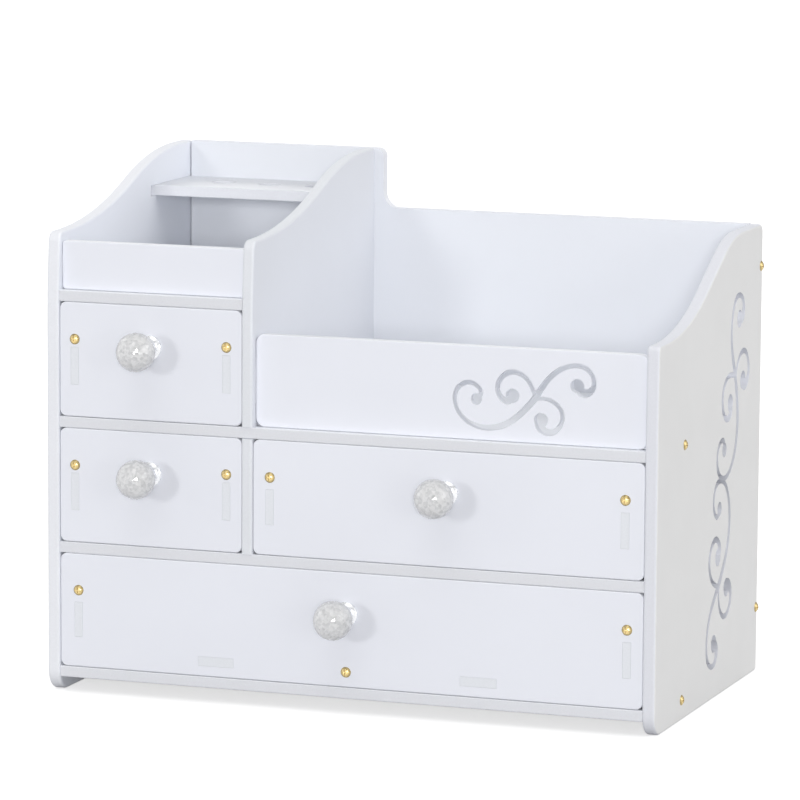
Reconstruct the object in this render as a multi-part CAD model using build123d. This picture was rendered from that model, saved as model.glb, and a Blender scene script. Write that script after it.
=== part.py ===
from build123d import *
from math import atan2, cos, hypot, pi, sin, tan
import os

# Makeup storage box of white board with four drawers, in millimetres, +Z up.
# Pieces are laid out in case coordinates: X from the left panel's outer face, Y from the boards'
# front edges towards the back, Z from the floor. The export moves them so that the origin is at the
# bottom centre of the whole object, knobs and screw heads included.

# Case
case_width = 340.0
case_depth = 193.0
panel_thickness = 7.0
divider_thickness = 6.2
shelf_thickness = 6.0
back_thickness = 6.0
tray_front_thickness = 5.0
foot_height = 8.0  # floor to the underside of the bottom board
bay_height = 61.7  # clear height of each drawer bay
left_bay_width = 104.1  # between the left panel and the divider
edge_easing = 1.5  # rounding of the panels' long edges
front_easing = 0.7  # rounding of the thinner boards' visible edges
shelf_recess = 1.0  # shelves' front edges behind the panels' front edges

# Curved top of the left panel and the divider, seen from the side and measured above the tray's floor
tall_shoulder_rise = 30.9
tall_back_rise = 62.9
tall_slope_start = 57.8  # where the slope, drawn on, meets the shoulder's height
tall_slope_to_back = 51.8  # from where it meets the top's height to the back
tall_low_bend = 0.56  # shares of the slope's length that its two bends take
tall_high_bend = 0.40
tall_front_radius = 5.5
tall_front_lean = 2.4  # how far the front edge leans back below the shoulder

# Curved top of the right panel, measured above the open compartment's floor
low_shoulder_rise = 54.6
low_back_rise = 97.6
low_slope_start = 52.2
low_slope_to_back = 56.8
low_low_bend = 0.42
low_high_bend = 0.19
low_front_radius = 3.0
low_front_lean = 1.0
front_lean_length = 31.0
front_lean_bend = 14.0
panel_toe_radius = 11.0
panel_heel_radius = 2.2
panel_back_radius = 4.5

# Back board: tall behind the left bay, low behind the open compartment
back_right_rise = 97.6  # above the compartment's floor
back_left_gap = 0.7  # between the back board's left end and the left panel
back_step_overlap = 5.5  # how far the tall part passes the divider
back_step_corner = 4.5
back_step_hollow = 8.5

# Joints between the boards
joint_fit = 0.1
housing_depth = 3.0
housing_stop = 6.0  # how far behind the front edge a housing starts
divider_tenon_length = 30.0
divider_tenon_inset = 25.0

# Trays above the drawers
tray_front_height = 25.9
tray_front_recess = 5.0
tray_front_radius = 2.0
scroll_panel_height = 49.2
scroll_panel_recess = 5.0
scroll_panel_radius = 5.0
tray_front_lift = 0.15
tray_tenon_height = 12.0
scroll_tenon_height = 24.0
brush_shelf_rise = 36.9  # tray floor to the underside of the brush shelf
brush_shelf_thickness = 6.0
brush_shelf_depth = 51.5
brush_shelf_housing_lead = 6.5
brush_hole_diameter = 13.0
brush_hole_spacing = 27.5
brush_hole_count = 3
brush_hole_from_back = 24.5
brush_hole_offset = 5.4  # the row's centre to the right of the bay's centre

# Drawers
drawer_board = 5.0
drawer_side_thickness = 4.4
drawer_back_gap = 4.0  # behind a closed drawer
front_recess = 1.0
front_gap = 0.2  # each side of a drawer front
front_lift = 0.3
front_drop = 0.15  # gap above a drawer front
front_corner_radius = 3.5
side_overhang = 6.4  # the front's end past the drawer side
right_drawer_left_overhang = 7.2  # the same at the right drawer's two ends
right_drawer_right_overhang = 8.1
wide_drawer_left_overhang = 8.2  # the same at the wide drawer's left end
side_height = 50.0
run_gap = 0.3
small_tenon_low = 17.2  # side tenons of the two small drawers, above the front's lower edge
small_tenon_height = 20.0
large_tenon_low = 16.2  # the same on the right and wide drawers
large_tenon_height = 18.8
drawer_screw_height = 41.5
slot_fit = 0.08
bottom_lift = 5.5
bottom_groove = 2.0
bottom_tenon_width = 20.0
bottom_tenon_spread = 147.0
knob_height = 39.2  # knob axis above the front's lower edge

# Crystal knob on its metal base
crystal_sides = 12
crystal_diameter = 21.0
crystal_length = 19.0
crystal_seat = 1.0
base_height = 12.0
base_foot_diameter = 13.0
base_neck_diameter = 8.0
base_cup_diameter = 12.0
base_lip = 1.2
knob_screw_diameter = 4.0
knob_screw_depth = 9.0  # reach into the base
knob_screw_head_diameter = 7.5
knob_screw_head_height = 2.4
knob_screw_clearance = 0.25
crystal_profile = [(0.0, 0.50), (0.22, 0.84), (0.42, 1.0), (0.60, 0.98), (0.80, 0.76), (1.0, 0.44)]

# Wood screws
head_diameter = 5.7
head_height = 1.4
shank_diameter = 2.6
shank_length = 16.0
tip_length = 3.0
pilot_clearance = 0.05
cross_length = 3.2
cross_width = 0.7
cross_depth = 0.7
knob_cross_length = 4.5
knob_cross_width = 0.9
shelf_screw_setback = 48.5
back_screw_heights = (35.6, 224.1)

# Scroll ornament, drawn at the front panel's size about the place where its strokes cross.
# Each point is across, up and the stroke's width there.
scroll_main = [
    (-32.3, -2.5, 3.3), (-29.8, 0.9, 2.4), (-35.4, 5.5, 2.5), (-42.7, 2.0, 2.7), (-42.6, -8.9, 2.3),
    (-31.1, -17.2, 2.9), (-16.6, -15.4, 3.4), (-4.4, -5.7, 3.5), (-0.2, -0.5, 3.7), (4.0, 5.9, 3.3),
    (16.1, 16.1, 2.7), (28.0, 15.5, 2.6), (31.2, 10.6, 2.3), (30.7, 5.6, 3.1), (27.0, 3.1, 4.7),
    (23.4, 5.0, 4.7),
]
scroll_upper = [
    (-0.2, 0.4, 2.3), (-2.1, 4.7, 2.3), (-4.8, 8.8, 2.4), (-14.1, 12.0, 2.9), (-20.7, 4.9, 2.7),
    (-19.7, 0.0, 2.9), (-16.0, -2.9, 4.2), (-13.1, -0.3, 4.7),
]
scroll_lower = [
    (0.0, -1.7, 2.1), (4.6, -0.8, 2.1), (13.2, -5.4, 2.4), (14.7, -10.5, 2.4), (8.4, -18.3, 3.6),
    (3.4, -16.6, 4.7), (2.0, -12.9, 4.7),
]
scroll_bulbs = [  # round ends of the strokes: across, up, diameter
    (-32.3, -3.0, 6.1), (22.4, 6.7, 7.4), (-12.6, -0.2, 7.5), (3.0, -12.1, 7.7),
]
scroll_from_end = 60.8  # crossing to the front panel's right end
scroll_above_foot = 24.4  # crossing above the front panel's lower edge
side_scroll_scale = 1.30
side_scrolls = [  # distance from the back, height, turn in degrees, mirrored or not
    (51.8, 170.8, 59.0, False),
    (78.8, 59.8, -86.0, True),
]

# Positions that follow from the sizes above
inner_left = panel_thickness
inner_right = case_width - panel_thickness
divider_left = inner_left + left_bay_width
divider_right = divider_left + divider_thickness
board_back = case_depth - back_thickness
bottom_floor = foot_height + shelf_thickness
lower_shelf_foot = bottom_floor + bay_height
middle_floor = lower_shelf_foot + shelf_thickness
middle_shelf_foot = middle_floor + bay_height
upper_floor = middle_shelf_foot + shelf_thickness
upper_shelf_foot = upper_floor + bay_height
tray_floor = upper_shelf_foot + shelf_thickness
tall_shoulder = tray_floor + tall_shoulder_rise
tall_height = tray_floor + tall_back_rise
low_shoulder = upper_floor + low_shoulder_rise
low_height = upper_floor + low_back_rise
back_right_height = upper_floor + back_right_rise
brush_foot = tray_floor + brush_shelf_rise
brush_shelf_front = board_back - brush_shelf_depth
half_lap = board_back / 2
drawer_back = board_back - drawer_back_gap
front_height = bay_height - front_lift - front_drop
knob_reach = base_height - crystal_seat + crystal_length - front_recess

os.makedirs("parts", exist_ok=True)
nodes = {}


def block(x0, x1, y0, y1, z0, z1):
    """A rectangular solid between two corners."""
    return Pos(x0, y0, z0) * Box(x1 - x0, y1 - y0, z1 - z0, align=(Align.MIN, Align.MIN, Align.MIN))


def room(x0, x1, y0, y1, z0, z1, fit=joint_fit):
    """The space that a tongue or tenon needs, with its fit all round."""
    return block(x0 - fit, x1 + fit, y0 - fit, y1 + fit, z0 - fit, z1 + fit)


def rounded_board(x0, x1, y0, y1, z0, z1, radius):
    """An upright board facing the front, with its four corners rounded."""
    face = Plane.XZ * RectangleRounded(x1 - x0, z1 - z0, radius)
    board = extrude(face, -(y1 - y0))
    board = fillet(board.faces().sort_by(Axis.Y)[0].edges(), front_easing)
    return Pos((x0 + x1) / 2, y0, (z0 + z1) / 2) * board


# Side panels and divider
def panel_blank(
    x0, thickness, height, shoulder, slope_start, slope_to_back, low_bend, high_bend, front_radius,
    front_lean,
):
    """A side panel with its curved top and eased edges, from x0 to the right."""
    slope_end = case_depth - slope_to_back
    slope_length = hypot(slope_end - slope_start, height - shoulder)
    half_turn = abs(tan(atan2(height - shoulder, slope_end - slope_start) / 2))
    low_tangent = min(low_bend * slope_length, slope_start - front_lean - front_radius)
    high_tangent = min(high_bend * slope_length, slope_to_back - panel_back_radius)
    lean_tangent = min(front_lean_bend, front_lean_length - front_radius)
    lean_half_turn = tan(atan2(front_lean, front_lean_length) / 2)
    outline = FilletPolyline(
        (0, 0), (0, shoulder - front_lean_length), (front_lean, shoulder), (slope_start, shoulder),
        (slope_end, height), (case_depth, height), (case_depth, 0),
        radius=[
            panel_toe_radius, lean_tangent / lean_half_turn, front_radius, low_tangent / half_turn,
            high_tangent / half_turn, panel_back_radius, panel_heel_radius,
        ],
        close=True,
    )
    panel = extrude(Plane.YZ * make_face(outline), thickness)
    rims = panel.faces().sort_by(Axis.X)[0].edges() + panel.faces().sort_by(Axis.X)[-1].edges()
    return Pos(x0, 0, 0) * fillet(rims, edge_easing)


def tall_panel(x0, thickness):
    return panel_blank(
        x0, thickness, tall_height, tall_shoulder, tall_slope_start, tall_slope_to_back,
        tall_low_bend, tall_high_bend, tall_front_radius, tall_front_lean,
    )


def low_panel(x0, thickness):
    return panel_blank(
        x0, thickness, low_height, low_shoulder, low_slope_start, low_slope_to_back,
        low_low_bend, low_high_bend, low_front_radius, low_front_lean,
    )


# Scroll ornament
def stroke(points):
    """One pen stroke through its points, with a round end at each of its tips."""
    line = Spline(*[(x, y) for x, y, width in points])
    left, right = [], []
    for x, y, width in points:
        way = line.tangent_at((x, y, 0))
        left.append((x - way.Y * width / 2, y + way.X * width / 2))
        right.append((x + way.Y * width / 2, y - way.X * width / 2))
    outline = [Spline(*left), Line(left[-1], right[-1]), Spline(*right), Line(right[0], left[0])]
    ends = [Pos(x, y) * Circle(width / 2) for x, y, width in (points[0], points[-1])]
    return make_face(outline) + ends


def scroll():
    bulbs = [Pos(x, y) * Circle(diameter / 2) for x, y, diameter in scroll_bulbs]
    return stroke(scroll_main) + stroke(scroll_upper) + stroke(scroll_lower) + bulbs


def side_ornament():
    """The two linked scrolls that run up each side panel, as a cutter right through it."""
    cutters = []
    for from_back, height, turn, mirrored in side_scrolls:
        motif = scale(scroll(), side_scroll_scale)
        if mirrored:
            motif = mirror(motif, about=Plane.XZ)
        motif = Pos(case_depth - from_back, height) * Rot(0, 0, turn) * motif
        cutters.append(extrude(Plane.YZ * motif, 3 * panel_thickness, both=True))
    return cutters


# Screws
def wood_screw():
    """A brass screw with a domed, crossed head, pointing down with its head on Z = 0."""
    rim = head_diameter / 2
    shank = shank_diameter / 2
    end = -shank_length
    profile = make_face([
        TangentArc((0, head_height), (rim, 0), tangent=(1, 0)),
        Polyline((rim, 0), (shank, 0), (shank, end + tip_length), (0, end), (0, head_height)),
    ])
    body = revolve(Plane.XZ * profile, Axis.Z)
    for turn in (0, 90):
        slot = Box(cross_length, cross_width, 2 * cross_depth)
        body -= Pos(0, 0, head_height) * Rot(0, 0, turn) * slot
    return body


def pilot(diameter=shank_diameter, length=shank_length, clearance=pilot_clearance):
    """The hole for a screw that points down from Z = 0."""
    radius = diameter / 2 + clearance
    return Pos(0, 0, -length / 2) * Cylinder(radius, length + 2 * clearance)


def outward(x, y, z, direction):
    """A plane on a board's face at x, y, z whose normal points out of the board."""
    return Plane(origin=(x, y, z), z_dir=direction)


def screw_set(places):
    return Compound([place * wood_screw() for place in places])


# Shelves and what holds them
def shelf_tongues(x0, x1, foot, thickness, start):
    """The tongue at each end of a board that slides into housings from the back."""
    reach = housing_depth - joint_fit
    top = foot + thickness
    return [
        (x0 - reach, x0, start, board_back, foot, top),
        (x1, x1 + reach, start, board_back, foot, top),
    ]


def front_tenons(x0, x1, y0, y1, foot, height, tenon_height):
    """The tenon at each end of an upright front board."""
    reach = housing_depth - joint_fit
    low = foot + (height - tenon_height) / 2
    return [
        (x0 - reach, x0 + joint_fit, y0, y1, low, low + tenon_height),
        (x1 - joint_fit, x1 + reach, y0, y1, low, low + tenon_height),
    ]


bottom_tongues = shelf_tongues(inner_left, inner_right, foot_height, shelf_thickness, housing_stop)
lower_tongues = shelf_tongues(inner_left, inner_right, lower_shelf_foot, shelf_thickness, housing_stop)
middle_tongues = shelf_tongues(inner_left, inner_right, middle_shelf_foot, shelf_thickness, housing_stop)
upper_tongues = shelf_tongues(inner_left, divider_left, upper_shelf_foot, shelf_thickness, housing_stop)
brush_tongues = shelf_tongues(
    inner_left, divider_left, brush_foot, brush_shelf_thickness, brush_shelf_front,
)
tray_front_foot = tray_floor + tray_front_lift
tray_front_back = tray_front_recess + tray_front_thickness
tray_tenons = front_tenons(
    inner_left, divider_left, tray_front_recess, tray_front_back,
    tray_front_foot, tray_front_height, tray_tenon_height,
)
scroll_panel_foot = upper_floor + tray_front_lift
scroll_panel_back = scroll_panel_recess + tray_front_thickness
scroll_tenons = front_tenons(
    divider_right, inner_right, scroll_panel_recess, scroll_panel_back,
    scroll_panel_foot, scroll_panel_height, scroll_tenon_height,
)


def brush_housing(tongue):
    """The brush shelf's housing starts in front of the shelf."""
    x0, x1, y0, y1, z0, z1 = tongue
    return room(x0, x1, y0 - brush_shelf_housing_lead, y1, z0, z1)


back_edge = (case_depth + board_back) / 2
shelf_centre = shelf_thickness / 2
side_screw_spots = [
    (shelf_screw_setback, foot_height + shelf_centre),
    (shelf_screw_setback, middle_shelf_foot + shelf_centre),
] + [(back_edge, height) for height in back_screw_heights]
left_screws = [outward(0, y, z, (-1, 0, 0)) for y, z in side_screw_spots]
right_screws = [outward(case_width, y, z, (1, 0, 0)) for y, z in side_screw_spots]
case_pilots = [place * pilot() for place in left_screws + right_screws]

left_panel = tall_panel(0, panel_thickness)
for tongue in (bottom_tongues[0], lower_tongues[0], middle_tongues[0], upper_tongues[0], tray_tenons[0]):
    left_panel -= room(*tongue)
left_panel -= brush_housing(brush_tongues[0])
left_panel -= side_ornament() + case_pilots
nodes["left_side_panel"] = left_panel

right_panel = low_panel(inner_right, panel_thickness)
for tongue in (bottom_tongues[1], lower_tongues[1], middle_tongues[1], scroll_tenons[1]):
    right_panel -= room(*tongue)
right_cutters = [Pos(inner_right, 0, 0) * cutter for cutter in side_ornament()]
right_panel -= right_cutters + case_pilots
nodes["right_side_panel"] = right_panel

# Divider: stands on the lower shelf on two tenons and half-laps with the middle shelf
divider_tenons = [
    (divider_left, divider_right, y, y + divider_tenon_length, lower_shelf_foot, middle_floor)
    for y in (divider_tenon_inset, board_back - divider_tenon_inset - divider_tenon_length)
]
divider = tall_panel(divider_left, divider_thickness)
divider &= block(divider_left, divider_right, 0, board_back, middle_floor, tall_height)
for tenon in divider_tenons:
    divider += block(*tenon)
divider -= room(
    divider_left, divider_right, -joint_fit, half_lap, middle_shelf_foot, upper_floor,
)
for tongue in (upper_tongues[1], tray_tenons[1], scroll_tenons[0]):
    divider -= room(*tongue)
divider -= brush_housing(brush_tongues[1])
nodes["divider_panel"] = divider


def shelf(x0, x1, y0, foot, thickness, tongues):
    """A board from its front edge back to the back board, with its tongues."""
    board = block(x0, x1, y0, board_back, foot, foot + thickness)
    board = fillet(board.faces().sort_by(Axis.Y)[0].edges().filter_by(Axis.X), front_easing)
    for tongue in tongues:
        board += block(*tongue)
    return board


bottom_board = shelf(
    inner_left, inner_right, shelf_recess, foot_height, shelf_thickness, bottom_tongues,
)
nodes["bottom_board"] = bottom_board - case_pilots

lower_shelf = shelf(
    inner_left, inner_right, shelf_recess, lower_shelf_foot, shelf_thickness, lower_tongues,
)
for tenon in divider_tenons:
    lower_shelf -= room(*tenon)
nodes["lower_shelf"] = lower_shelf

middle_shelf = shelf(
    inner_left, inner_right, shelf_recess, middle_shelf_foot, shelf_thickness, middle_tongues,
)
middle_shelf -= room(
    divider_left, divider_right, half_lap + 2 * joint_fit, board_back, middle_shelf_foot, upper_floor,
)
nodes["middle_shelf"] = middle_shelf - case_pilots

nodes["upper_shelf"] = shelf(
    inner_left, divider_left, shelf_recess, upper_shelf_foot, shelf_thickness, upper_tongues,
)

brush_shelf = shelf(
    inner_left, divider_left, brush_shelf_front, brush_foot, brush_shelf_thickness, brush_tongues,
)
row_centre = (inner_left + divider_left) / 2 + brush_hole_offset
for number in range(brush_hole_count):
    offset = (number - (brush_hole_count - 1) / 2) * brush_hole_spacing
    hole = Cylinder(brush_hole_diameter / 2, 3 * brush_shelf_thickness)
    brush_shelf -= Pos(row_centre + offset, board_back - brush_hole_from_back, brush_foot) * hole
nodes["brush_shelf"] = brush_shelf

# Back board between the side panels, tall on the left
step_x = divider_right + back_step_overlap
step_room = abs(tall_height - back_right_height) / (back_step_corner + back_step_hollow)
step_share = min(1, 0.95 * step_room)
back_left = inner_left + back_left_gap
back_outline = FilletPolyline(
    (back_left, 0), (back_left, tall_height), (step_x, tall_height), (step_x, back_right_height),
    (inner_right, back_right_height), (inner_right, 0),
    radius=[0, 0, back_step_corner * step_share, back_step_hollow * step_share, 0, 0],
    close=True,
)
back_board = Pos(0, board_back, 0) * extrude(Plane.XZ * make_face(back_outline), -back_thickness)
nodes["back_board"] = back_board - case_pilots


# Upright fronts of the two open compartments
def tray_front(x0, x1, y0, y1, foot, height, radius, tenons):
    board = rounded_board(x0 + joint_fit, x1 - joint_fit, y0, y1, foot, foot + height, radius)
    for tenon in tenons:
        board += block(*tenon)
    return board


nodes["left_tray_front"] = tray_front(
    inner_left, divider_left, tray_front_recess, tray_front_back,
    tray_front_foot, tray_front_height, tray_front_radius, tray_tenons,
)
scroll_panel = tray_front(
    divider_right, inner_right, scroll_panel_recess, scroll_panel_back,
    scroll_panel_foot, scroll_panel_height, scroll_panel_radius, scroll_tenons,
)
scroll_place = Plane(
    origin=(inner_right - scroll_from_end, scroll_panel_recess, scroll_panel_foot + scroll_above_foot),
    x_dir=(1, 0, 0), z_dir=(0, -1, 0),
)
nodes["scroll_front_panel"] = scroll_panel - extrude(
    scroll_place * scroll(), 3 * tray_front_thickness, both=True,
)
nodes["left_side_screws"] = screw_set(left_screws)
nodes["right_side_screws"] = screw_set(right_screws)


# Knobs
def crystal_head():
    """A faceted head: rings of points, each turned half a step, joined by flat facets."""
    rings = []
    for level, (along, share) in enumerate(crystal_profile):
        radius = share * crystal_diameter / 2
        ring = []
        for corner in range(crystal_sides):
            angle = 2 * pi * (corner + level / 2) / crystal_sides
            ring.append(Vector(radius * cos(angle), radius * sin(angle), along * crystal_length))
        rings.append(ring)
    facets = [Face(Wire.make_polygon(rings[0])), Face(Wire.make_polygon(rings[-1]))]
    for low, high in zip(rings, rings[1:]):
        for corner in range(crystal_sides):
            after = (corner + 1) % crystal_sides
            facets.append(Face(Wire.make_polygon([low[corner], low[after], high[corner]])))
            facets.append(Face(Wire.make_polygon([low[after], high[after], high[corner]])))
    return Solid(Shell(facets))


def knob_base():
    """The turned metal base, its foot on Z = 0 and its cup round the crystal's end."""
    foot = base_foot_diameter / 2
    neck = base_neck_diameter / 2
    cup = base_cup_diameter / 2
    lip_foot = base_height - 2 * base_lip
    profile = make_face([
        Polyline((0, 0), (foot, 0), (foot, base_lip)),
        Spline(
            (foot, base_lip), (neck, base_height * 0.45), (cup, lip_foot),
            tangents=[(-1, 0.6), (1, 1.2)],
        ),
        Polyline((cup, lip_foot), (cup, base_height), (0, base_height), (0, 0)),
    ])
    return revolve(Plane.XZ * profile, Axis.Z)


def knob_screw():
    """The machine screw that holds the base from inside the drawer, its head below Z = 0."""
    shank = Cylinder(
        knob_screw_diameter / 2, drawer_board + knob_screw_depth,
        align=(Align.CENTER, Align.CENTER, Align.MIN),
    )
    head = Cylinder(
        knob_screw_head_diameter / 2, knob_screw_head_height,
        align=(Align.CENTER, Align.CENTER, Align.MAX),
    )
    rim = head.faces().sort_by(Axis.Z)[0].edges()
    head = fillet(rim, knob_screw_head_height / 3)
    body = shank + head
    for turn in (0, 90):
        slot = Box(knob_cross_length, knob_cross_width, 2 * cross_depth)
        body -= Pos(0, 0, -knob_screw_head_height) * Rot(0, 0, turn) * slot
    return body


# Drawers
def make_drawer(
    name, bay_left, bay_right, floor, side_tenon_low, side_tenon_height, bottom_tenon_offsets,
    left_overhang=side_overhang, right_overhang=side_overhang,
):
    """One drawer with its boards, screws and knob, closed in its bay."""
    x0 = bay_left + front_gap
    x1 = bay_right - front_gap
    centre = (x0 + x1) / 2
    front_foot = floor + front_lift
    box_foot = floor + run_gap
    front_back = front_recess + drawer_board
    back_front = drawer_back - drawer_board
    left_face = x0 + left_overhang
    right_face = x1 - right_overhang
    tenon_low = front_foot + side_tenon_low
    tenon_high = tenon_low + side_tenon_height
    bottom_foot = front_foot + bottom_lift
    bottom_top = bottom_foot + drawer_board

    side_spans = [
        (left_face, left_face + drawer_side_thickness), (right_face - drawer_side_thickness, right_face),
    ]
    side_tenons = [
        (low, high, front_recess, drawer_back, tenon_low, tenon_high) for low, high in side_spans
    ]
    reach = bottom_groove - joint_fit
    bottom_box = (
        side_spans[0][1] - reach, side_spans[1][0] + reach, front_back - reach, back_front + reach,
        bottom_foot, bottom_top,
    )
    bottom_tenons = [
        (
            centre + offset - bottom_tenon_width / 2, centre + offset + bottom_tenon_width / 2,
            front_recess, front_back, bottom_foot, bottom_top,
        )
        for offset in bottom_tenon_offsets
    ]

    screw_height = front_foot + drawer_screw_height
    screw_lines = [(low + high) / 2 for low, high in side_spans]
    front_screws = [outward(x, front_recess, screw_height, (0, -1, 0)) for x in screw_lines]
    back_screws = [outward(x, drawer_back, screw_height, (0, 1, 0)) for x in screw_lines]
    if bottom_tenon_offsets:
        middle = bottom_foot + drawer_board / 2
        front_screws.append(outward(centre, front_recess, middle, (0, -1, 0)))
    pilots = [place * pilot() for place in front_screws + back_screws]

    knob_place = outward(centre, front_recess, front_foot + knob_height, (0, -1, 0))
    knob_hole = knob_place * pilot(knob_screw_diameter, drawer_board, knob_screw_clearance)

    front = rounded_board(
        x0, x1, front_recess, front_back, front_foot, front_foot + front_height, front_corner_radius,
    )
    for tenon in side_tenons + bottom_tenons:
        front -= room(*tenon, fit=slot_fit)
    nodes[name + "_front"] = front - room(*bottom_box) - pilots - knob_hole

    back = block(x0, x1, back_front, drawer_back, box_foot, box_foot + side_height)
    for tenon in side_tenons:
        back -= room(*tenon, fit=slot_fit)
    nodes[name + "_back"] = back - room(*bottom_box) - pilots

    for side, (low, high), tenon in zip(("_left_side", "_right_side"), side_spans, side_tenons):
        board = block(low, high, front_back, back_front, box_foot, box_foot + side_height)
        board += block(*tenon)
        nodes[name + side] = board - room(*bottom_box) - pilots

    bottom = block(*bottom_box)
    for tenon in bottom_tenons:
        bottom += block(*tenon)
    nodes[name + "_bottom"] = bottom - pilots

    nodes[name + "_front_screws"] = screw_set(front_screws)
    nodes[name + "_back_screws"] = screw_set(back_screws)

    seat = Pos(0, 0, base_height - crystal_seat)
    head = seat * crystal_head()
    screw_room = Cylinder(
        knob_screw_diameter / 2 + pilot_clearance, 2 * (knob_screw_depth + pilot_clearance),
    )
    nodes[name + "_knob_base"] = knob_place * (knob_base() - head - screw_room)
    nodes[name + "_knob_crystal"] = knob_place * head
    nodes[name + "_knob_screw"] = knob_place * Pos(0, 0, -drawer_board) * knob_screw()


small_tenons = (small_tenon_low, small_tenon_height)
large_tenons = (large_tenon_low, large_tenon_height)
make_drawer("top_drawer", inner_left, divider_left, upper_floor, *small_tenons, [])
make_drawer("middle_drawer", inner_left, divider_left, middle_floor, *small_tenons, [])
make_drawer(
    "right_drawer", divider_right, inner_right, middle_floor, *large_tenons, [],
    left_overhang=right_drawer_left_overhang, right_overhang=right_drawer_right_overhang,
)
tenon_offsets = [-bottom_tenon_spread / 2, bottom_tenon_spread / 2]
make_drawer(
    "wide_drawer", inner_left, inner_right, bottom_floor, *large_tenons, tenon_offsets,
    left_overhang=wide_drawer_left_overhang,
)

# Export about the bottom centre of the whole object
to_origin = Pos(-case_width / 2, (knob_reach - case_depth) / 2, 0)
for name, shape in nodes.items():
    export_step(to_origin * shape, "parts/" + name + ".step")
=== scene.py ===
import math

import bmesh
import bpy
from mathutils import Matrix, Vector


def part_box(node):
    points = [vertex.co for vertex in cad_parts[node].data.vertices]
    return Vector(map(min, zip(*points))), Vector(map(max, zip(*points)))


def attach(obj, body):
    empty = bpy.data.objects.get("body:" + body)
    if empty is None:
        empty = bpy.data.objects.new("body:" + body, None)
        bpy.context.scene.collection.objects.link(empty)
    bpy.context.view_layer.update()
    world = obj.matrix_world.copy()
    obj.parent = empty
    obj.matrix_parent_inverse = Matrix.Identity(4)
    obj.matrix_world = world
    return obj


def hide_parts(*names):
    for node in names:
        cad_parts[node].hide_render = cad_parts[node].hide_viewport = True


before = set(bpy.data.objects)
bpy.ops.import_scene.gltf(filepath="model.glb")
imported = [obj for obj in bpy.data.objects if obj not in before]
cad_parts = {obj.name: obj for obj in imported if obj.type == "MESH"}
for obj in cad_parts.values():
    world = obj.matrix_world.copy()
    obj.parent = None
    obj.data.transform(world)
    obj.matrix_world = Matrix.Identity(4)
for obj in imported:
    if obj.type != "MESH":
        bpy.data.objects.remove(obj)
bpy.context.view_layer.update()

# A makeup storage box of white board with four drawers on crystal knobs, in metres.

MM = 0.001
X, Y, Z = 0, 1, 2
DRAWERS = ("top_drawer", "middle_drawer", "right_drawer", "wide_drawer")

# Camera: where the photograph was taken from
CAMERA_TURN = math.radians(19.593)
CAMERA_DROP = math.radians(8.473)
CAMERA_ROLL = math.radians(0.352)
CAMERA_TARGET = Vector((-0.0047, 0.0147, 0.1536))
CAMERA_DISTANCE = 2.7886
CAMERA_REACH = 50
CAMERA_LENS = 232.5  # this and the sensor's width are in millimetres
CAMERA_SENSOR = 36

# Colours, as shares of the red, green and blue light that comes back
# FRONT_FACE down to RIGHT_EDGE are one white board with painted light and shade: each board's face and edge
# tone is set lighter or darker to match how brightly that board is lit
FRONT_FACE = (0.840, 0.856, 0.916)
BOARD_FACE = (0.812, 0.834, 0.892)
UPRIGHT_FACE = (0.752, 0.769, 0.815)
BACK_FACE = (0.782, 0.800, 0.842)
BRUSH_FACE = (0.752, 0.769, 0.808)
SHELF_FACE = (0.893, 0.909, 0.945)
SHELF_EDGE = (0.778, 0.789, 0.826)
BOARD_EDGE = (0.869, 0.882, 0.922)
UPRIGHT_EDGE = (0.795, 0.815, 0.852)
RIGHT_EDGE = (0.776, 0.788, 0.837)
TENON_END = (0.819, 0.840, 0.880)
# painted shade on the side panels' outer faces: darker and less blue than their inner faces
PANEL_OUTSIDE_SHADE = (0.800, 0.800, 0.797)
BRASS = (0.76, 0.59, 0.28)
# painted dark reflection on the rims of the screw heads
BRASS_RIM_REFLECTION = (0.33, 0.26, 0.12)
CHROME = (0.82, 0.83, 0.85)
ZINC = (0.60, 0.61, 0.63)
CRYSTAL = (0.995, 0.995, 0.995)
# painted dark reflection, the darkest that a facet or splinter of the crystal shows
CRYSTAL_DARK_REFLECTION = (0.72, 0.725, 0.73)
CRYSTAL_THROUGH = (0.96, 0.96, 0.96)  # share that is left of a view straight through one surface
CRYSTAL_SHADOW = (0.25, 0.25, 0.26)  # the same of light on its way to what lies behind

# How dark the marks in a surface are, as a share of its colour
FACE_CLOUD = 0.99
OUTSIDE_CLOUD = 0.985
EDGE_GRAIN = 0.975
EDGE_PORE = 0.8
METAL_MARK = 0.90
PORE_SHARE = 0.15  # how much of a pore's tone shows

# Fineness of the marks, in cells to the metre
BOARD_CLOUD = 14
BOARD_SMEAR = 60
BOARD_PEEL = 420
BOARD_GRAIN = 900
BOARD_PORES = 1500
BRASS_MARKS = 900
METAL_MARKS = 700
CRYSTAL_SPLINTERS = 640
FLOOR_MOTTLE = 40

# Gloss and depth of the marks
EDGE_ROUGHNESS = 0.92
SKIN_SMOOTHER = (0.36, 0.44)  # how much smoother the board's skin is than its edge
BRASS_ROUGHNESS = (0.24, 0.40)
CRYSTAL_ROUGHNESS = (0.07, 0.03)  # at its darkest and its palest splinters
CRYSTAL_COAT_ROUGHNESS = 0.03
BOARD_GLOSS = 0.3
FLOOR_GLOSS = 0.1
FLOOR_ROUGHNESS = 0.9
PEEL_BUMP = (0.08, 0.02 * MM)  # strength and depth, as in the next two
GRAIN_BUMP = (0.25, 0.06 * MM)
PLATING_BUMP = (0.15, 0.01 * MM)

# Where one tone turns into another, by how squarely the surface faces that way
SKIN_FACING = (0.55, 0.92)
# where a side panel's outer face takes its painted shade
OUTSIDE_SHADE_FACING = (0.2, 0.6)
# where a screw head's rim takes its painted dark reflection
BRASS_REFLECTION_FACING = (0.66, 0.97)
BRASS_UNEVEN = 0.25  # how far the marks shift where the painted dark reflection on the rim begins

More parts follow.
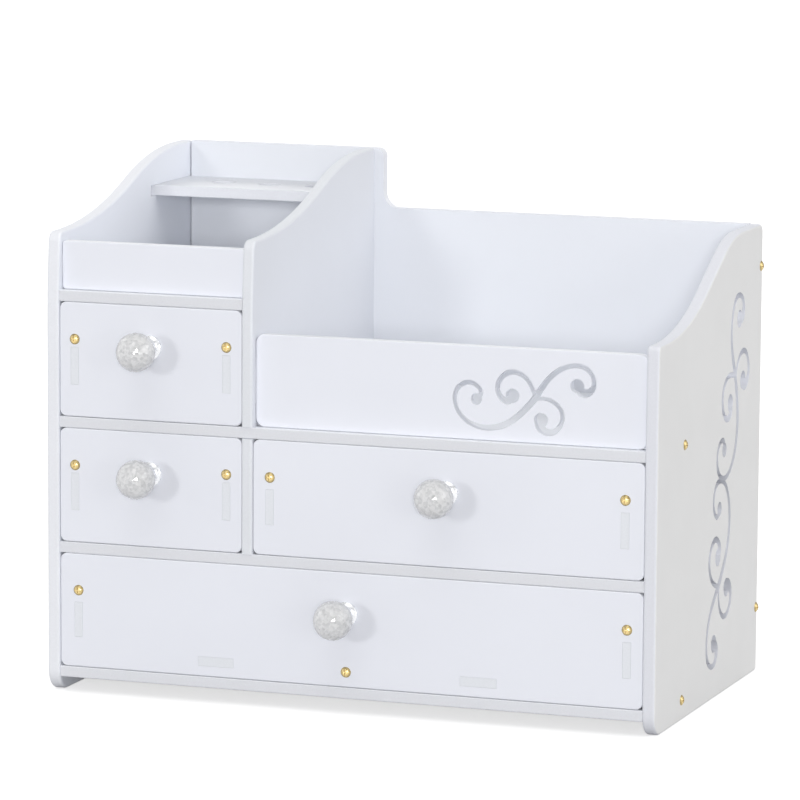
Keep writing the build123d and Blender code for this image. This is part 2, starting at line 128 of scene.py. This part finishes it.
# Studio
FLOOR_RADIUS = 12.0
FLOOR_GLOW = 0.62  # light of its own, only where the floor is seen, so that it looks white
FLOOR_SEEN = (0.62, 0.62, 0.62)
FLOOR_THROWN = (0.40, 0.40, 0.41)  # what it throws back on the object is darker than it looks
FLOOR_SPECKLE = (0.41, 0.41, 0.42)
WORLD_LIGHT = 0.45
BACKGROUND_WHITE = 1.0
LIGHT_DISTANCE = 6.0

# Crystal knobs
KNOB_FACETS = 20
KNOB_RINGS = 12
KNOB_TABLE = 0.975  # where the front facet cuts the ball, as a share of its radius
KNOB_SEAT = 0.90  # the same behind, where the head sits on its base
RING_MATCH = 0.01  # how near a corner's level is to that of its ring
FACET_STEP = 0.618  # from one facet's painted reflection tone to the next, so that neighbours differ
FACET_REFLECTION_SHARE = 0.5  # how far a facet's painted reflection can go towards the paler colour
SPLINTER_REFLECTION_SHARE = 0.6  # the same for a splinter's painted reflection
CRYSTAL_CLEARNESS = 0.22
CRYSTAL_OPEN = 0.12  # share of the view that passes straight through
CRYSTAL_IOR = 1.36


# Node helpers
class Shader:
    """A material and its nodes, built round one Principled shader."""

    def __init__(self, name):
        self.material = bpy.data.materials.new(name)
        self.material.use_nodes = True
        self.nodes = self.material.node_tree.nodes
        self.links = self.material.node_tree.links
        self.bsdf = self.nodes["Principled BSDF"]
        self.coords = self.add("ShaderNodeTexCoord")

    def add(self, kind, **settings):
        node = self.nodes.new(kind)
        for name, value in settings.items():
            setattr(node, name, value)
        return node

    def link(self, source, target):
        self.links.new(source, target)

    def put(self, name, value):
        self.bsdf.inputs[name].default_value = value

    def noise(self, scale, detail, roughness=0.5):
        """Noise on the object's own coordinates; scale is in cells to the metre."""
        noise = self.add("ShaderNodeTexNoise")
        noise.inputs["Scale"].default_value = scale
        noise.inputs["Detail"].default_value = detail
        noise.inputs["Roughness"].default_value = roughness
        self.link(self.coords.outputs["Object"], noise.inputs["Vector"])
        return noise.outputs["Fac"]

    def splinters(self, scale):
        """Small sharp-edged cells, as many to the metre as scale says, each with a value of its own."""
        cells = self.add("ShaderNodeTexVoronoi")
        cells.inputs["Scale"].default_value = scale
        self.link(self.coords.outputs["Object"], cells.inputs["Vector"])
        parts = self.add("ShaderNodeSeparateColor")
        self.link(cells.outputs["Color"], parts.inputs[0])
        return parts.outputs[0]

    def ramp(self, value, low, high, out_low, out_high):
        """A smooth change of a value from one range to another."""
        node = self.add("ShaderNodeMapRange", interpolation_type="SMOOTHSTEP")
        for name, number in (
            ("From Min", low), ("From Max", high), ("To Min", out_low), ("To Max", out_high),
        ):
            node.inputs[name].default_value = number
        self.link(value, node.inputs["Value"])
        return node.outputs["Result"]

    def compute(self, operation, first, second):
        """One sum on two values, which are numbers or other nodes' results."""
        node = self.add("ShaderNodeMath", operation=operation)
        for socket, value in zip(node.inputs, (first, second)):
            if isinstance(value, (int, float)):
                socket.default_value = value
            else:
                self.link(value, socket)
        return node.outputs[0]

    def mix(self, factor, first, second):
        """A colour between two, which are plain colours or other nodes' results."""
        node = self.add("ShaderNodeMix", data_type="RGBA")
        self.link(factor, node.inputs[0])
        colours = (node.inputs[6], node.inputs[7])  # the sockets A and B for colours
        for socket, value in zip(colours, (first, second)):
            if isinstance(value, tuple):
                socket.default_value = (*value, 1)
            else:
                self.link(value, socket)
        return node.outputs[2]

    def bump(self, height, strength, distance, under=None):
        node = self.add("ShaderNodeBump")
        node.inputs["Strength"].default_value = strength
        node.inputs["Distance"].default_value = distance
        self.link(height, node.inputs["Height"])
        if under:
            self.link(under, node.inputs["Normal"])
        return node.outputs["Normal"]


def shade(colour, share):
    return tuple(part * share for part in colour)


# Materials
def white_board(name, thin_axis, face=BOARD_FACE, edge=BOARD_EDGE, outside=None):
    """Foamed board: a smooth skin on its two faces and slightly greyer, grainier cut edges.

    A side panel's outer face gets painted shade, a darker, less blue tone for the dimmer light on it; outside
    is 1 or -1, the way that it looks along X.
    """
    s = Shader(name)
    parts = s.add("ShaderNodeSeparateXYZ")
    s.link(s.coords.outputs["Normal"], parts.inputs[0])
    across = s.compute("ABSOLUTE", parts.outputs[thin_axis], 0)
    skin = s.ramp(across, *SKIN_FACING, 0, 1)
    cloud = s.ramp(s.noise(BOARD_CLOUD, 4), 0.35, 0.65, 0, 1)
    grain = s.noise(BOARD_GRAIN, 4, roughness=0.65)
    pores = s.ramp(s.noise(BOARD_PORES, 2), 0.62, 0.76, 0, 1)
    face_tone = s.mix(cloud, shade(face, FACE_CLOUD), face)
    if outside:
        # painted shade on the outer face
        outer_painted_shade = s.mix(cloud, shade(PANEL_OUTSIDE_SHADE, OUTSIDE_CLOUD), PANEL_OUTSIDE_SHADE)
        outward = s.compute("MULTIPLY", parts.outputs[X], outside)
        face_tone = s.mix(s.ramp(outward, *OUTSIDE_SHADE_FACING, 0, 1), face_tone, outer_painted_shade)
    edge_tone = s.mix(s.ramp(grain, 0.35, 0.7, 0, 1), shade(edge, EDGE_GRAIN), edge)
    edge_tone = s.mix(s.compute("MULTIPLY", pores, PORE_SHARE), edge_tone, shade(edge, EDGE_PORE))
    s.link(s.mix(skin, edge_tone, face_tone), s.bsdf.inputs["Base Color"])
    smooth = s.compute("MULTIPLY", skin, s.ramp(s.noise(BOARD_SMEAR, 5), 0.3, 0.7, *SKIN_SMOOTHER))
    s.link(s.compute("SUBTRACT", EDGE_ROUGHNESS, smooth), s.bsdf.inputs["Roughness"])
    peel = s.bump(s.noise(BOARD_PEEL, 2), *PEEL_BUMP)
    rough = s.compute("MULTIPLY", grain, s.compute("SUBTRACT", 1, skin))
    s.link(s.bump(rough, *GRAIN_BUMP, under=peel), s.bsdf.inputs["Normal"])
    s.put("Specular IOR Level", BOARD_GLOSS)
    return s.material


def brass_head(name, axis):
    """Brass plating on a domed screw head that faces along the axis, with a painted dark reflection on its
    rim, where the dome turns away from the axis.
    """
    s = Shader(name)
    s.put("Metallic", 1.0)
    parts = s.add("ShaderNodeSeparateXYZ")
    s.link(s.coords.outputs["Normal"], parts.inputs[0])
    level = s.compute("ABSOLUTE", parts.outputs[axis], 0)
    marks = s.noise(BRASS_MARKS, 4)
    uneven = s.compute("MULTIPLY", s.compute("SUBTRACT", marks, 0.5), BRASS_UNEVEN)
    level = s.compute("ADD", level, uneven)
    # painted dark reflection towards the rim
    s.link(s.mix(s.ramp(level, *BRASS_REFLECTION_FACING, 0, 1), BRASS_RIM_REFLECTION, BRASS), s.bsdf.inputs["Base Color"])
    s.link(s.ramp(marks, 0.3, 0.75, *BRASS_ROUGHNESS), s.bsdf.inputs["Roughness"])
    s.link(s.bump(marks, *PLATING_BUMP), s.bsdf.inputs["Normal"])
    return s.material


def metal(name, colour, roughness, smear):
    """Plated metal with faint marks in its polish."""
    s = Shader(name)
    s.put("Metallic", 1.0)
    marks = s.noise(METAL_MARKS, 4)
    tone = s.mix(s.ramp(marks, 0.3, 0.7, 0, 1), shade(colour, METAL_MARK), colour)
    s.link(tone, s.bsdf.inputs["Base Color"])
    s.link(s.ramp(marks, 0.3, 0.75, roughness, roughness + smear), s.bsdf.inputs["Roughness"])
    s.link(s.bump(marks, *PLATING_BUMP), s.bsdf.inputs["Normal"])
    return s.material


def clear_crystal(name):
    """Pale cut crystal whose facets and small splinters carry painted reflections, darker and paler; lamps
    shine dimly through it.
    """
    s = Shader(name)
    facet = s.add("ShaderNodeAttribute", attribute_name="facet")
    # painted reflections: a tone for each facet plus small splinters
    splinter_reflection = s.ramp(s.splinters(CRYSTAL_SPLINTERS), 0.1, 0.8, 0, SPLINTER_REFLECTION_SHARE)
    tone = s.compute("ADD", s.compute("MULTIPLY", facet.outputs["Fac"], FACET_REFLECTION_SHARE), splinter_reflection)
    s.link(s.mix(tone, CRYSTAL_DARK_REFLECTION, CRYSTAL), s.bsdf.inputs["Base Color"])
    s.link(s.ramp(splinter_reflection, 0, SPLINTER_REFLECTION_SHARE, *CRYSTAL_ROUGHNESS), s.bsdf.inputs["Roughness"])
    s.put("Transmission Weight", CRYSTAL_CLEARNESS)
    s.put("IOR", CRYSTAL_IOR)
    s.put("Coat Weight", 1.0)
    s.put("Coat Roughness", CRYSTAL_COAT_ROUGHNESS)
    path = s.add("ShaderNodeLightPath")
    passing = s.compute("MAXIMUM", path.outputs["Is Shadow Ray"], path.outputs["Is Diffuse Ray"])
    clear = s.add("ShaderNodeBsdfTransparent")
    s.link(s.mix(passing, CRYSTAL_THROUGH, CRYSTAL_SHADOW), clear.inputs["Color"])
    passing = s.compute("MAXIMUM", passing, CRYSTAL_OPEN)
    both = s.add("ShaderNodeMixShader")
    s.link(passing, both.inputs[0])
    s.link(s.bsdf.outputs[0], both.inputs[1])
    s.link(clear.outputs[0], both.inputs[2])
    s.link(both.outputs[0], s.nodes["Material Output"].inputs["Surface"])
    return s.material


def give(node, material):
    """Gives a CAD node one material all over."""
    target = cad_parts[node]
    target.data.materials.clear()
    target.data.materials.append(material)
    for face in target.data.polygons:
        face.material_index = 0


left_board = white_board("white left panel board", X, outside=-1)
right_board = white_board("white right panel board", X, edge=RIGHT_EDGE, outside=1)
upright_board = white_board("white upright board", X, face=UPRIGHT_FACE, edge=UPRIGHT_EDGE)
shelf_board = white_board("white shelf board", Z, face=SHELF_FACE, edge=SHELF_EDGE)
brush_board = white_board("white brush shelf board", Z, face=BRUSH_FACE, edge=SHELF_EDGE)
back_board = white_board("white back board", Y, face=BACK_FACE)
front_board = white_board("white front board", Y, face=FRONT_FACE)
drawer_side_board = white_board("white drawer side board", X, edge=TENON_END)
drawer_bottom_board = white_board("white drawer bottom board", Z, edge=TENON_END)
brass_front = brass_head("brass plating on drawer screws", Y)
brass_side = brass_head("brass plating on side screws", X)
chrome = metal("satin chrome", CHROME, 0.22, 0.12)
zinc = metal("zinc plating", ZINC, 0.32, 0.2)
crystal = clear_crystal("clear crystal")

give("left_side_panel", left_board)
give("right_side_panel", right_board)
give("divider_panel", upright_board)
give("back_board", back_board)
give("brush_shelf", brush_board)
for node in ("bottom_board", "lower_shelf", "middle_shelf", "upper_shelf"):
    give(node, shelf_board)
for node in ("left_tray_front", "scroll_front_panel"):
    give(node, front_board)
for node in ("left_side_screws", "right_side_screws"):
    give(node, brass_side)
for drawer in DRAWERS:
    give(drawer + "_front", front_board)
    give(drawer + "_back", back_board)
    give(drawer + "_bottom", drawer_bottom_board)
    give(drawer + "_left_side", drawer_side_board)
    give(drawer + "_right_side", drawer_side_board)
    give(drawer + "_front_screws", brass_front)
    give(drawer + "_back_screws", brass_front)
    give(drawer + "_knob_screw", zinc)
    give(drawer + "_knob_base", chrome)


# Crystal knobs
def facet_order(face):
    """A facet's level and its turn round the ball, which number the facets alike in every run."""
    middle = face.calc_center_median()
    turn = round(math.atan2(middle.y, middle.x) * KNOB_FACETS / math.pi)
    return round(middle.z, 3), turn % (2 * KNOB_FACETS)


def crystal_head(drawer):
    """A ball of small flat facets, cut off in front and behind, in place of the CAD's coarser head."""
    low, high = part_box(drawer + "_knob_crystal")
    mesh = bmesh.new()
    bmesh.ops.create_uvsphere(mesh, u_segments=KNOB_FACETS, v_segments=KNOB_RINGS, radius=1)
    half_step = Matrix.Rotation(math.pi / KNOB_FACETS, 3, "Z")
    for ring in range(1, KNOB_RINGS, 2):
        level = math.cos(math.pi * ring / KNOB_RINGS)
        turned = [v for v in mesh.verts if abs(v.co.z - level) < RING_MATCH]
        bmesh.ops.rotate(mesh, verts=turned, matrix=half_step)
    bmesh.ops.triangulate(mesh, faces=mesh.faces[:], quad_method="SHORT_EDGE")
    for level, way in ((KNOB_TABLE, 1), (-KNOB_SEAT, -1)):
        parts = mesh.verts[:] + mesh.edges[:] + mesh.faces[:]
        cut = bmesh.ops.bisect_plane(
            mesh, geom=parts, plane_co=(0, 0, level), plane_no=(0, 0, way), clear_outer=True,
        )
        rim = [part for part in cut["geom_cut"] if isinstance(part, bmesh.types.BMEdge)]
        bmesh.ops.holes_fill(mesh, edges=rim)
    # each facet gets a painted reflection tone, standing in for what it reflects and bends
    tone = mesh.faces.layers.float.new("facet")
    for number, face in enumerate(sorted(mesh.faces, key=facet_order)):
        face[tone] = number * FACET_STEP % 1
    middle = (low + high) / 2
    length = high.y - low.y
    along = length / (KNOB_TABLE + KNOB_SEAT)
    bmesh.ops.rotate(mesh, verts=mesh.verts, matrix=Matrix.Rotation(math.pi / 2, 3, "X"))
    bmesh.ops.scale(mesh, verts=mesh.verts, vec=((high.x - low.x) / 2, along, (high.z - low.z) / 2))
    seat = high.y - KNOB_SEAT * along
    bmesh.ops.translate(mesh, verts=mesh.verts, vec=(middle.x, seat, middle.z))
    bmesh.ops.recalc_face_normals(mesh, faces=mesh.faces)
    piece = new_piece(drawer + "_cut_crystal", mesh, crystal)
    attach(piece, drawer)
    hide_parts(drawer + "_knob_crystal")


def new_piece(name, mesh, material):
    """Turns a finished bmesh into an object with its material."""
    data = bpy.data.meshes.new(name)
    mesh.to_mesh(data)
    mesh.free()
    data.materials.append(material)
    piece = bpy.data.objects.new(name, data)
    bpy.context.scene.collection.objects.link(piece)
    return piece


for drawer in DRAWERS:
    crystal_head(drawer)


# Floor, light and camera
def white_floor():
    """Pale floor that looks white to the camera and still takes the object's shadow."""
    s = Shader("white floor")
    speckle = s.ramp(s.noise(FLOOR_MOTTLE, 3), 0.3, 0.7, 0, 1)
    thrown = s.mix(speckle, FLOOR_THROWN, FLOOR_SPECKLE)
    s.put("Roughness", FLOOR_ROUGHNESS)
    s.put("Specular IOR Level", FLOOR_GLOSS)
    path = s.add("ShaderNodeLightPath")
    seen = s.compute("MAXIMUM", path.outputs["Is Camera Ray"], path.outputs["Is Glossy Ray"])
    seen = s.compute("MAXIMUM", seen, path.outputs["Is Transmission Ray"])
    s.link(s.mix(seen, thrown, FLOOR_SEEN), s.bsdf.inputs["Base Color"])
    glow = s.add("ShaderNodeEmission")
    s.link(s.compute("MULTIPLY", seen, FLOOR_GLOW), glow.inputs["Strength"])
    both = s.add("ShaderNodeAddShader")
    s.link(s.bsdf.outputs[0], both.inputs[0])
    s.link(glow.outputs[0], both.inputs[1])
    s.link(both.outputs[0], s.nodes["Material Output"].inputs["Surface"])
    return s.material


def make_floor():
    mesh = bmesh.new()
    bmesh.ops.create_circle(mesh, cap_ends=True, segments=64, radius=FLOOR_RADIUS)
    data = bpy.data.meshes.new("floor")
    mesh.to_mesh(data)
    mesh.free()
    floor = bpy.data.objects.new("floor", data)
    bpy.context.scene.collection.objects.link(floor)
    floor.data.materials.append(white_floor())


def soft_light(name, turn, rise, size, power):
    """A square soft box that looks at the object, turned to the right of its front and raised, in degrees."""
    light = bpy.data.lights.new(name, "AREA")
    light.size = size
    light.energy = power
    lamp = bpy.data.objects.new(name, light)
    turn, rise = math.radians(turn), math.radians(rise)
    away = Vector((math.sin(turn) * math.cos(rise), -math.cos(turn) * math.cos(rise), math.sin(rise)))
    lamp.location = CAMERA_TARGET + away * LIGHT_DISTANCE
    lamp.rotation_mode = "QUATERNION"
    lamp.rotation_quaternion = away.to_track_quat("Z", "Y")
    bpy.context.scene.collection.objects.link(lamp)


def soft_world():
    world = bpy.data.worlds.new("studio")
    world.use_nodes = True
    nodes, links = world.node_tree.nodes, world.node_tree.links
    ambient = nodes["Background"]
    ambient.inputs["Color"].default_value = (1, 1, 1, 1)
    ambient.inputs["Strength"].default_value = WORLD_LIGHT
    white = nodes.new("ShaderNodeBackground")
    white.inputs["Strength"].default_value = BACKGROUND_WHITE
    path = nodes.new("ShaderNodeLightPath")
    seen = nodes.new("ShaderNodeMath")
    seen.operation = "MAXIMUM"
    links.new(path.outputs["Is Camera Ray"], seen.inputs[0])
    links.new(path.outputs["Is Transmission Ray"], seen.inputs[1])
    either = nodes.new("ShaderNodeMath")
    either.operation = "MAXIMUM"
    links.new(seen.outputs[0], either.inputs[0])
    links.new(path.outputs["Is Glossy Ray"], either.inputs[1])
    mix = nodes.new("ShaderNodeMixShader")
    links.new(either.outputs[0], mix.inputs[0])
    links.new(ambient.outputs[0], mix.inputs[1])
    links.new(white.outputs[0], mix.inputs[2])
    links.new(mix.outputs[0], nodes["World Output"].inputs["Surface"])
    bpy.context.scene.world = world


def make_camera():
    data = bpy.data.cameras.new("camera")
    data.sensor_width = CAMERA_SENSOR
    data.lens = CAMERA_LENS
    data.clip_end = CAMERA_REACH
    camera = bpy.data.objects.new("camera", data)
    back = Vector((
        math.sin(CAMERA_TURN) * math.cos(CAMERA_DROP),
        -math.cos(CAMERA_TURN) * math.cos(CAMERA_DROP),
        math.sin(CAMERA_DROP),
    ))
    level = Vector((math.cos(CAMERA_TURN), math.sin(CAMERA_TURN), 0))
    rise = back.cross(level)
    right = math.cos(CAMERA_ROLL) * level + math.sin(CAMERA_ROLL) * rise
    up = math.cos(CAMERA_ROLL) * rise - math.sin(CAMERA_ROLL) * level
    turn = Matrix((right, up, back)).transposed().to_4x4()
    camera.matrix_world = Matrix.Translation(CAMERA_TARGET + back * CAMERA_DISTANCE) @ turn
    bpy.context.scene.collection.objects.link(camera)
    bpy.context.scene.camera = camera


make_floor()
soft_world()
# The front light stands in line with the camera, so that it reaches under the brush shelf
soft_light("left light", turn=-16, rise=10, size=0.8, power=51)
soft_light("right light", turn=45, rise=6, size=1.0, power=13)
soft_light("front light", turn=19.6, rise=8.7, size=0.8, power=103)
soft_light("top light", turn=10, rise=62, size=4.0, power=49)
soft_light("side light", turn=92, rise=22, size=4.0, power=118)
soft_light("far left light", turn=-92, rise=22, size=4.0, power=60)
soft_light("back light", turn=208, rise=32, size=3.0, power=110)
make_camera()
bpy.context.scene.view_settings.view_transform = "Standard"
